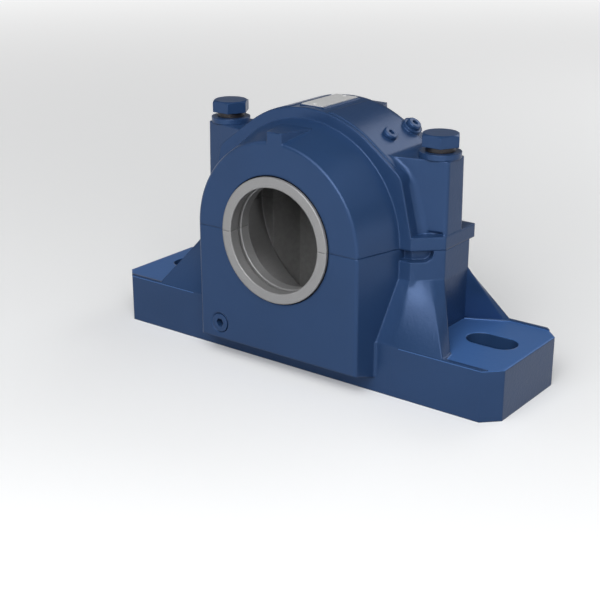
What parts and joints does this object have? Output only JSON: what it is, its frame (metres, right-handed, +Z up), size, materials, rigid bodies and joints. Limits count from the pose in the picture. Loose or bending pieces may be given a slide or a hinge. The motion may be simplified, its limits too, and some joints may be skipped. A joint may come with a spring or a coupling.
{
  "type": "split plummer block housing",
  "caption": "Split cast bearing housing on a bolted foot plate, with a bolted cap, a through shaft opening, a bearing seat, grease plugs and a drain plug",
  "frame": {"origin": "on the ground plane, under the middle of the shaft opening and midway between its two ends", "axes": "+X along the foot plate, +Y along the shaft towards the rear opening, +Z up; the shaft's axis is parallel to Y at 103 mm"},
  "size_m": [0.345, 0.1372, 0.194],
  "materials": {
    "casting_paint": "satin blue enamel over grey cast iron; the ring faces, bores and bearing seat are bare machined iron",
    "bolt_paint": "satin blue enamel over steel fasteners, bare at the collar under each head",
    "plug_paint": "satin blue enamel over steel screw plugs",
    "pin_steel": "ground steel dowel pins",
    "plate_aluminium": "bare pale aluminium plate with round rivets"
  },
  "bodies": {
    "root": {"base": "casting_paint", "cap": "casting_paint", "cap_bolt_left": "bolt_paint", "cap_bolt_right": "bolt_paint", "washer_left": "bolt_paint", "washer_right": "bolt_paint", "dowel_pin_left": "pin_steel", "dowel_pin_right": "pin_steel", "grease_plug_middle": "plug_paint", "grease_plug_rear": "plug_paint", "drain_plug": "plug_paint", "nameplate": "plate_aluminium", "nameplate_rivet_front": "plate_aluminium", "nameplate_rivet_rear": "plate_aluminium"}
  },
  "joints": []
}
